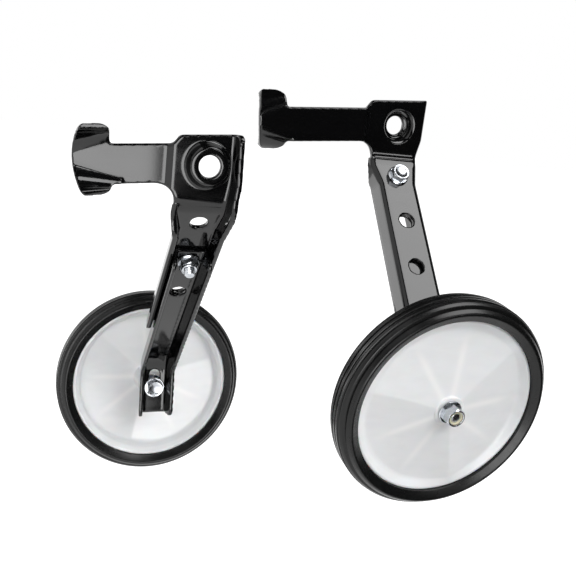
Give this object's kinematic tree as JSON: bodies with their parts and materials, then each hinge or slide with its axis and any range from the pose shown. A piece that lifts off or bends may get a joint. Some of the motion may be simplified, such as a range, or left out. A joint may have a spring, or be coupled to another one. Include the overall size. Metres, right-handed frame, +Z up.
{
  "type": "bicycle training wheels",
  "caption": "Pair of bicycle training wheels: black pressed-steel brackets with a hooked arm, an axle hole and height holes, each carrying a free-running white wheel with a ribbed rubber tyre.",
  "frame": {"origin": "centre of the left unit's axle hole, on the face that meets the bicycle's dropout", "axes": "+X towards the bicycle's rear, +Y towards its right side along the axle hole, +Z up"},
  "size_m": [0.2618, 0.2032, 0.2756],
  "materials": {
    "black_paint": "gloss",
    "zinc_plate": "bright",
    "nylon": "satin",
    "white_plastic": "satin",
    "black_rubber": "satin"
  },
  "bodies": {
    "brackets": {"left_upper_bracket": "black_paint", "left_lower_arm": "black_paint", "left_height_bolt": "zinc_plate", "left_height_nut": "zinc_plate", "left_axle_bolt": "zinc_plate", "left_axle_head_washer": "zinc_plate", "left_axle_clamp_nut": "zinc_plate", "left_inner_washer": "zinc_plate", "left_outer_washer": "zinc_plate", "left_lock_nut": "zinc_plate", "left_lock_nut_insert": "nylon", "right_upper_bracket": "black_paint", "right_lower_arm": "black_paint", "right_height_bolt": "zinc_plate", "right_height_nut": "zinc_plate", "right_axle_bolt": "zinc_plate", "right_axle_head_washer": "zinc_plate", "right_axle_clamp_nut": "zinc_plate", "right_inner_washer": "zinc_plate", "right_outer_washer": "zinc_plate", "right_lock_nut": "zinc_plate", "right_lock_nut_insert": "nylon"},
    "left_wheel": {"left_wheel_disc": "white_plastic", "left_hub_bush": "zinc_plate", "left_tyre": "black_rubber"},
    "right_wheel": {"right_wheel_disc": "white_plastic", "right_hub_bush": "zinc_plate", "right_tyre": "black_rubber"}
  },
  "joints": [
    {"name": "left_wheel_spin", "type": "hinge", "parent": "brackets", "child": "left_wheel", "pos_m": [0, -0.10325, -0.14304], "axis": [0, -0.9936, -0.1132], "continuous": true},
    {"name": "right_wheel_spin", "type": "hinge", "parent": "brackets", "child": "right_wheel", "pos_m": [-0.131, 0.06224, -0.19487], "axis": [0, 0.9936, -0.1132], "continuous": true}
  ]
}
